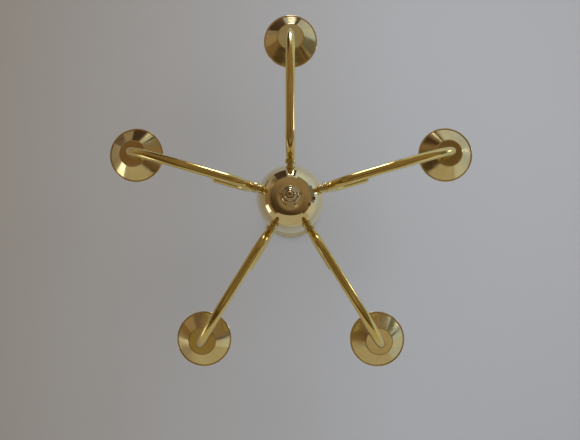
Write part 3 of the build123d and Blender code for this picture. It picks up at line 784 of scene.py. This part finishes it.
class CHANDELIER_OT_candles(Step):
    """Candle sleeves, and the lampholders inside them with their threaded shells and contacts."""

    bl_idname = "chandelier.candles"
    bl_label = "Candles"

    def build(self, sizes):
        ivory, black = finish_named("candle_ivory"), finish_named("black_phenolic")
        brass = finish_named("turned_brass")
        wall, edge, gap, stem_r, stem_tall = 0.0012, 0.0004, 0.0004, 0.0072, 0.022
        hole_deep, mouth_r, mouth_deep, boss_r, boss_tall = 0.012, 0.0078, 0.024, 0.0025, 0.001
        shell_in, shell_out, contact_r, contact_up = 0.00725, 0.00745, 0.0022, 0.0018
        outer, inner = sizes.sleeve_radius, sizes.sleeve_radius - wall
        holder_r = inner - gap
        for number, turn in enumerate(ARM_TURNS, start=1):
            place = outward(turn) * REACH
            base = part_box(f"candle_sleeve_{number}")[0][2]
            heights = base + np.linspace(0, sizes.sleeve_tall, 40)
            tube = chain_of(upright(outer, heights), upright(inner, heights[::-1]))
            lathe(f"candle_{number}", tube, ivory, f"candle_sleeve_{number}", edge,
                  origin=place, rounds=96)

            low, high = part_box(f"lampholder_{number}")[0][2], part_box(f"lampholder_{number}")[1][2]
            hole_top, stem_top, floor = low + hole_deep, low + stem_tall, high - mouth_deep
            boss = floor + boss_tall
            holder = chain_of(
                (0, hole_top), (END_THREAD_R, hole_top), (END_THREAD_R, low), (stem_r, low),
                (stem_r, stem_top), (holder_r, stem_top), (holder_r, high), (mouth_r, high),
                (mouth_r, floor), (boss_r, floor), (boss_r, boss), (0, boss),
            )
            lathe(f"lampholder_{number}_body", holder, black, f"lampholder_{number}",
                  closed=False, origin=place, rounds=96)

            heights = np.linspace(boss, high - boss_tall, 150)
            wall_line = np.vstack((upright(shell_in, heights), upright(shell_out, heights[::-1])))
            contact = chain_of(
                (0, boss), (contact_r, boss), arc((0, floor + contact_up), contact_r, 0, 90, 14)
            )
            contact[-1, 0] = 0.0
            socket = turned(wall_line, place, UP, 72, ripple=thread(0.00282, 0.00028))
            make_piece(
                f"lamp_thread_{number}", [socket, turned(contact, place, UP, 32)], brass,
                f"lampholder_{number}", instead=False,
            )


def stood_up(flat, flip):
    """Flat line stood upright in the X-Z plane or across it, and its plane's normal."""
    level, face = (AHEAD, ACROSS) if flip else (ACROSS, AHEAD)
    return flat[:, :1] * level + UP * flat[:, 1:], face


def link_line(top, long, wide, flip):
    """A link's centreline: two straight legs and two half turns."""
    radius = wide / 2
    high, low = top - radius, top - long + radius
    flat = chain_of(arc((0, high), radius, 0, 180, 60), arc((0, low), radius, 180, 360, 60))
    return stood_up(resample(np.vstack((flat, flat[:1])), 0.0005)[:-1], flip)


def eye_shell(centre_z, flip):
    """Wire ring of a loop's eye."""
    path, face = stood_up(arc((0, centre_z), EYE_R, 0, 360, 121)[:-1], flip)
    return swept(path, EYE_WIRE_R, face, 40, closed=True)


class CHANDELIER_OT_chain(Step):
    """Chain links with their closing seams, and the two loops that hold the chain."""

    bl_idname = "chandelier.chain"
    bl_label = "Chain and loops"

    def build(self, sizes):
        brass, turned_brass = finish_named("chain_brass"), finish_named("turned_brass")
        seam_deep, seam_wide = 0.00022, 0.9  # the width is in steps of the link's line
        for number in range(1, LINK_COUNT + 1):
            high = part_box(f"chain_link_{number}")[1][2] - sizes.link_wire
            path, face = link_line(high, sizes.link_long, sizes.link_wide, number % 2 == 1)
            off_seam = (np.arange(len(path)) - len(path) * 0.5) / seam_wide
            radius = sizes.link_wire - seam_deep * np.exp(-(off_seam**2))
            shell = swept(path, radius, face, 32, closed=True)
            make_piece(f"link_{number}_wire", [shell], brass, f"chain_link_{number}")

        eye = eye_shell(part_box("ceiling_loop")[0][2] + EYE_R + EYE_WIRE_R, False)
        groove, lead = 0.00022, 0.0009
        screw = chain_of(
            (0, SCREW_LOW), (SCREW_R - lead, SCREW_LOW),
            upright(SCREW_R, np.linspace(SCREW_LOW + lead, SCREW_TOP - lead, 220)),
            (SCREW_R - lead, SCREW_TOP), (0, SCREW_TOP),
        )
        screw_shell = turned(screw, ripple=thread(0.0015, groove, sunk=groove))
        make_piece("ceiling_loop_turned", [screw_shell, eye], turned_brass, "ceiling_loop")

        low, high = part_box("fixture_loop")[0][2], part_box("fixture_loop")[1][2]
        base_r, base_tall, base_round = 0.0095, 0.009, 0.0015
        top, flat = low + base_tall, base_r - base_round
        base = chain_of(
            (0, low), arc((flat, low + base_round), base_round, -90, 0, 12),
            arc((flat, top - base_round), base_round, 0, 90, 12), (0, top),
        )
        base_shell = turned(soften(base, FINE_EDGE, closed=False), rounds=96)
        eye = eye_shell(high - EYE_R - EYE_WIRE_R, True)
        make_piece("fixture_loop_turned", [base_shell, eye], turned_brass, "fixture_loop")


class CHANDELIER_OT_canopy(Step):
    """Spun canopy and the knurled ring nut under it."""

    bl_idname = "chandelier.canopy"
    bl_label = "Canopy"

    def build(self, sizes):
        spun, turned_brass = finish_named("spun_cup_brass"), finish_named("turned_brass")
        lip_r, lip_z, waist_r, waist_z, flat_r = 0.062, -0.005, 0.040, -0.027, 0.021
        shoulder, bell, slant = 0.030, 0.060, 0.7 * SHEET
        bead, under_bead = 0.0016, -0.0036
        hole_r, bottom = SCREW_R + 2 * THREAD_GAP, CANOPY_LOW + SHEET
        waist_out = (waist_r + slant, waist_z - slant)
        flat_out = (flat_r + 0.85 * SHEET, bottom - 0.5 * SHEET)
        edge = (lip_r + bead / 2, -bead - FACE_GAP)
        line = chain_of(
            (lip_r, -FACE_GAP),
            bulge((lip_r, lip_z), (waist_r, waist_z), shoulder, 50),
            bulge((waist_r, waist_z), (flat_r, bottom), -bell, 50),
            (hole_r, bottom), (hole_r, CANOPY_LOW), (flat_r + 0.4 * SHEET, CANOPY_LOW),
            bulge(flat_out, waist_out, bell - SHEET, 50),
            bulge(waist_out, (lip_r + SHEET, lip_z), -shoulder - SHEET, 50),
            (lip_r + SHEET, under_bead),
            arc(edge, bead, -60, 90, 24),
        )
        lathe("canopy_spun", line, spun, "canopy", FINE_EDGE, rounds=256)

        low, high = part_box("canopy_ring_nut")[0][2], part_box("canopy_ring_nut")[1][2]
        ring_r, ring_round, bore_r = 0.018, 0.0025, SCREW_R + THREAD_GAP
        flat, start, end = ring_r - ring_round, low + ring_round, high - ring_round
        ring = chain_of(
            (bore_r, low), arc((flat, start), ring_round, -90, 0, 16),
            upright(ring_r, np.linspace(start, end, 12)),
            arc((flat, end), ring_round, 0, 90, 16), (bore_r, high),
        )
        teeth, groove, plain, fade = 60, 0.00035, 0.0016, 0.0004
        middle, half = (low + high) / 2, (high - low) / 2 - plain

        def knurl(angle, z):
            depth = np.clip((half - np.abs(z - middle)) / fade, 0, 1)
            return -groove * (0.5 + 0.5 * np.cos(teeth * angle)) * depth

        lathe("ring_nut_knurled", ring, turned_brass, "canopy_ring_nut", FINE_EDGE,
              rounds=480, ripple=knurl)


ZINC_NODES = (
    "ceiling_bracket", "ceiling_stem", "stem_nut", "centre_rod", "rod_nuts", "arm_nuts", "cup_nuts",
)


class CHANDELIER_OT_fixings(Step):
    """Finishes for the fixings, which keep the meshes of their solids."""

    bl_idname = "chandelier.fixings"
    bl_label = "Fixings"

    def build(self, sizes):
        for node in ZINC_NODES:
            dress(node, finish_named("zinc_plate"))
        dress("terminal_block", finish_named("white_nylon"))


# ------------------------ stage
def glowing(name):
    """Material that only shines, with its Emission shader and its Object coordinates."""
    material, shader, place = new_material(name)
    glow = new_node(shader, "Emission")
    shader.id_data.nodes.remove(shader)
    finish = material.node_tree.nodes["Material Output"]
    fill(finish, {"Surface": glow.outputs["Emission"]})
    return material, glow, place


# Painted reflection on the glowing floor card. Rings: where each fades, and its tone. Patches, placed
# for the cup floors to mirror: x, y and tone.
PAINTED_FLOOR_RINGS = ((0.62, 0.88, (0.25, 0.185, 0.105)), (0.30, 0.52, (0.12, 0.082, 0.036)))
PAINTED_FLOOR_PATCHES = (
    (0.005, 0.66, (0.34, 0.31, 0.22)),
    (-0.57, 0.235, (0.13, 0.085, 0.035)),
    (-0.31, -0.44, (0.42, 0.36, 0.24)),
    (0.32, -0.44, (0.27, 0.20, 0.07)),
    (0.575, 0.235, (0.16, 0.085, 0.035)),
)


def floor_glow():
    """Glowing card that paints the brown floor as polished metal mirrors it: lighter ahead, in a ring
    and in five patches. Its painted light also reaches the matt surfaces.
    """
    material, glow, place = glowing("floor_card")
    # Painted light: lighter ahead, towards turn 30, where light falls on the floor.
    ahead = spread(measure("DOT_PRODUCT", place, outward(30)), 0.0, 1.0, -0.9, 0.85)
    tone = mix(ahead, (0.055, 0.036, 0.017), (0.26, 0.175, 0.095))
    flat = stretched(place, (1.0, 1.0, 0.0))
    off_axis = measure("LENGTH", flat)
    for near, far, ring in PAINTED_FLOOR_RINGS:
        tone = mix(spread(off_axis, 1.0, 0.0, near, far), tone, ring)
    for x, y, patch in PAINTED_FLOOR_PATCHES:
        distance = measure("DISTANCE", flat, (x, y, 0.0))
        tone = mix(spread(distance, 1.0, 0.0, 0.07, 0.13), tone, patch)
    clouds = spread(noise(place, 2.2), 0.0, 0.25)
    fill(glow, {"Color": mix(clouds, tone, (0.12, 0.07, 0.033))})
    return material


# Glowing cards seen only in the metal, painted reflections: turns of the two ends in degrees,
# distance from the axis, heights of the two edges, tone.
# Painted reflection: near-black tone for the cards that make dark patches in the metal, and the tone
# of a nearer wall.
PAINTED_DARK_PATCH, NEAR_WALL = (0.05, 0.03, 0.02), (0.35, 0.31, 0.22)
CARDS = (
    (-34, -9, 1.12, -0.66, -0.02, PAINTED_DARK_PATCH),
    (7, 12, 1.12, -0.62, -0.02, PAINTED_DARK_PATCH),
    (296, 311, 1.20, -0.12, -0.03, PAINTED_DARK_PATCH),
    (140, 222, 1.90, -1.19, -0.02, NEAR_WALL),
    (18, 56, 2.40, -1.19, -0.80, (0.18, 0.15, 0.10)),
    (56, 100, 2.40, -1.19, -0.50, (0.13, 0.125, 0.10)),
    (224, 250, 2.40, -1.19, -0.85, (0.20, 0.13, 0.06)),
    (250, 300, 2.40, -1.19, -0.80, (0.16, 0.10, 0.045)),
    (85, 93, 2.10, -0.86, -0.36, PAINTED_DARK_PATCH),
    (103, 112, 1.20, -0.92, -0.70, PAINTED_DARK_PATCH),
)


def card_glow(number, tone):
    """Glowing card seen only in polished metal, a painted reflection, a little uneven."""
    material, glow, place = glowing(f"card_{number}")
    fill(glow, {"Color": mix(noise(place, 6.0), tone, shaded(tone, 1.3, 1.3, 1.3))})
    return material


# Painted reflection on the glowing wall card: pale stretches of painted light and dark stretches
# where the mirrored room is darker. Turn, half the width and width of the soft edge in degrees, tone.
PAINTED_WALL_STRETCHES = (
    (28, 14, 8, (0.52, 0.56, 0.55)),
    (75, 24, 10, (0.46, 0.54, 0.62)),
    (118, 10, 8, (0.52, 0.52, 0.46)),
    (272, 12, 7, (0.20, 0.125, 0.055)),
    (300, 10, 8, (0.30, 0.225, 0.135)),
    (332, 16, 8, (0.16, 0.11, 0.075)),
)


def wall_glow():
    """Glowing card that paints the walls as polished metal mirrors them: warm grey, with broad pale
    and dark stretches, paler towards the top. Its painted light also reaches the matt surfaces.
    """
    material, glow, place = glowing("wall_card")
    uneven = spread(noise(place, 1.3))
    tone = mix(uneven, (0.40, 0.36, 0.27), (0.34, 0.30, 0.22))
    for turn, half, soft, patch in PAINTED_WALL_STRETCHES:
        across = measure("DOT_PRODUCT", place, outward(turn) / ROOM_R)
        inside = spread(across, 0.0, 1.0, cos(radians(half + soft)), cos(radians(half)))
        tone = mix(inside, tone, patch)
    # Painted light: paler towards the top of the wall.
    top = spread(along(place, "Z"), 0.0, 0.5, -0.35, -0.02)
    fill(glow, {"Color": mix(top, tone, (0.46, 0.46, 0.40))})
    return material


def ceiling_paint(colour):
    """Matt grey paint with painted light: warmer and darker on one side, cooler on the other and
    paler further out, open to views from above.
    """
    material, shader, place = new_material("ceiling_paint")
    # Painted light: warmer and darker towards one side and cooler towards the other, as light falls
    # across the ceiling.
    side = spread(along(place, "X"), 0.0, 1.0, -0.25, 0.75)
    cool, warm = shaded(colour, 0.895, 0.952, 1.045), shaded(colour, 0.690, 0.650, 0.605)
    # Painted light: paler further from the axis, as if lit by windows near the walls.
    outer = mix(side, (0.76, 0.86, 0.98), (0.50, 0.42, 0.32))
    away = spread(measure("LENGTH", place), 0.0, 1.0, 0.9, 2.3)
    fill(shader, {
        "Base Color": mix(away, mix(side, cool, warm), outer),
        "Roughness": 0.9,
        "Specular IOR Level": 0.1,
        "Normal": raise_bump(noise(place, 260.0, detail=2.0), 0.0001),
    })
    back = new_node(shader, "NewGeometry").outputs["Backfacing"]
    clear = new_node(shader, "BsdfTransparent").outputs["BSDF"]
    blend = new_node(shader, "MixShader", {"Fac": back, 1: shader.outputs["BSDF"], 2: clear})
    finish = material.node_tree.nodes["Material Output"]
    fill(finish, {"Surface": blend.outputs["Shader"]})
    return material


def round_grid(radii, heights):
    """Grid of points round the axis. Either the radius or the height may be one number."""
    turns = np.linspace(0, 2 * pi, 97)[:, None]
    radii, heights = np.broadcast_arrays(radii, heights)
    level = (radii * np.cos(turns), radii * np.sin(turns))
    return np.stack((*level, heights + 0 * turns), axis=2)


def stage_mesh(name, grid, material, hidden=False):
    """Stage surface over a grid of points (rows, columns, 3). The camera may not see it."""
    rows, columns = grid.shape[:2]
    i, j = np.meshgrid(np.arange(rows - 1), np.arange(columns - 1), indexing="ij")
    first = (i * columns + j).ravel()
    faces = np.stack((first, first + columns, first + columns + 1, first + 1), axis=1)
    surface = mesh_object(name, grid.reshape(-1, 3), faces.tolist(), material)
    surface.visible_camera = not hidden
    return surface


# Soft lamps: place, target, size, watts, colour, cone in degrees, and whether metal mirrors it. The
# windows are only mirrored, and the matt surfaces have their light from the other two, from the world
# and from the painted light of the glowing floor and wall cards.
MIDDLE = (0.0, 0.0, BALL_Z)
LAMPS = {
    "window_ahead": (
        placed(1, 1.05, -0.29), MIDDLE, (0.21, 0.50), 0.10, (1.0, 0.98, 1.0), 28, True
    ),
    "window_right": (
        placed(74, 2.3, -0.17), MIDDLE, (0.28, 0.42), 1.8, (0.93, 0.97, 1.0), 180, True
    ),
    "window_left": (
        placed(246, 2.3, -0.44), MIDDLE, (0.72, 0.50), 1.5, (1.0, 0.97, 0.90), 180, True
    ),
    "fill": (
        (0.05, -0.10, -1.15), (0.05, -0.10, 0.0), (3.4, 3.4), 39.5, (1.0, 1.0, 1.0), 180, False
    ),
    "shading": (
        (-0.60, 0.45, -1.10), (0.0, 0.0, -0.1), (0.5, 0.5), 3, (1.0, 1.0, 1.0), 180, False
    ),
}


def soft_lamp(name, place, target, size, watts, colour, cone, mirrored):
    """Rectangular soft lamp that faces a point and stays out of the camera's sight."""
    lamp = bpy.data.lights.new(name, "AREA")
    lamp.shape, lamp.size, lamp.size_y = "RECTANGLE", *size
    lamp.energy, lamp.color, lamp.spread = watts, colour, radians(cone)
    holder = bpy.data.objects.new(name, lamp)
    holder.location = place
    holder.rotation_euler = (Vector(target) - Vector(place)).to_track_quat("-Z", "Y").to_euler()
    holder.visible_camera = False
    holder.visible_glossy, holder.visible_diffuse = mirrored, not mirrored
    bpy.context.scene.collection.objects.link(holder)


# The camera was solved from the photo: it stands below the ball and looks almost straight up.
CAMERA_PLACE, CAMERA_WAY = (-0.0043, -0.0574, -1.0748), (0.0069, 0.0322, 1.0)
SENSOR_MM, LENS_MM = 36.0, 27.93
WORLD_TONE = (0.33, 0.33, 0.335, 1.0)


class CHANDELIER_OT_stage(Step):
    """Ceiling behind the light, soft lamps, glowing cards that paint reflections for the metal to
    mirror, and the camera.
    """

    bl_idname = "chandelier.stage"
    bl_label = "Stage"

    def build(self, sizes):
        scene, look = bpy.context.scene, bpy.context.scene.chandelier_finish
        ceiling = round_grid(np.linspace(CEILING_HOLE_R, ROOM_R, 24), CEILING_Z)
        floor = round_grid(np.linspace(0.01, ROOM_R, 24), FLOOR_Z)
        wall = round_grid(ROOM_R, np.linspace(FLOOR_Z, -0.002, 8))
        stage_mesh("ceiling", ceiling, ceiling_paint(tuple(look.ceiling)))
        stage_mesh("floor_card", floor, floor_glow(), hidden=True)
        stage_mesh("wall_card", wall, wall_glow(), hidden=True)
        for number, (start, end, away, low, high, tone) in enumerate(CARDS, start=1):
            panel = np.array([
                [placed(turn, away, height) for height in (low, high)] for turn in (start, end)
            ])
            card = stage_mesh(f"card_{number}", panel, card_glow(number, tone), hidden=True)
            card.visible_diffuse = card.visible_shadow = False

        for name, (place, target, size, watts, *rest) in LAMPS.items():
            soft_lamp(name, place, target, size, watts * look.lamp_level, *rest)

        world = bpy.data.worlds.new("studio")
        world.use_nodes = True
        fill(world.node_tree.nodes["Background"], {"Color": WORLD_TONE, "Strength": 1.0})
        scene.world = world
        scene.view_settings.view_transform = "Standard"

        lens = bpy.data.cameras.new("camera")
        lens.sensor_width, lens.lens = SENSOR_MM, LENS_MM
        lens.clip_start, lens.clip_end = 0.01, 50.0
        camera = bpy.data.objects.new("camera", lens)
        forward = Vector(CAMERA_WAY).normalized()
        right = forward.cross(Vector((0, 1, 0))).normalized()
        turn = Matrix((right, right.cross(forward), -forward)).transposed()
        camera.matrix_world = Matrix.Translation(CAMERA_PLACE) @ turn.to_4x4()
        scene.collection.objects.link(camera)
        scene.camera = camera


# ------------------------ panel and run
STEPS = tuple(step.bl_idname.split(".")[1] for step in Step.__subclasses__())


class CHANDELIER_PT_panel(bpy.types.Panel):
    """Sizes, colours and the steps that make the chandelier."""

    bl_idname = "CHANDELIER_PT_panel"
    bl_label = "Chandelier"
    bl_space_type = "VIEW_3D"
    bl_region_type = "UI"
    bl_category = "Chandelier"

    def draw(self, context):
        for group in (context.scene.chandelier_sizes, context.scene.chandelier_finish):
            for key in group.bl_rna.properties.keys():
                if key not in ("rna_type", "name"):
                    self.layout.prop(group, key)
        for step in STEPS:
            self.layout.operator(f"chandelier.{step}")


CLASSES = (ChandelierSizes, ChandelierFinish, *Step.__subclasses__(), CHANDELIER_PT_panel)


def register():
    for kind in CLASSES:
        bpy.utils.register_class(kind)
    bpy.types.Scene.chandelier_sizes = bpy.props.PointerProperty(type=ChandelierSizes)
    bpy.types.Scene.chandelier_finish = bpy.props.PointerProperty(type=ChandelierFinish)


def unregister():
    del bpy.types.Scene.chandelier_finish
    del bpy.types.Scene.chandelier_sizes
    for kind in reversed(CLASSES):
        bpy.utils.unregister_class(kind)


def main():
    register()
    for step in STEPS:
        getattr(bpy.ops.chandelier, step)()


if __name__ == "__main__":
    main()
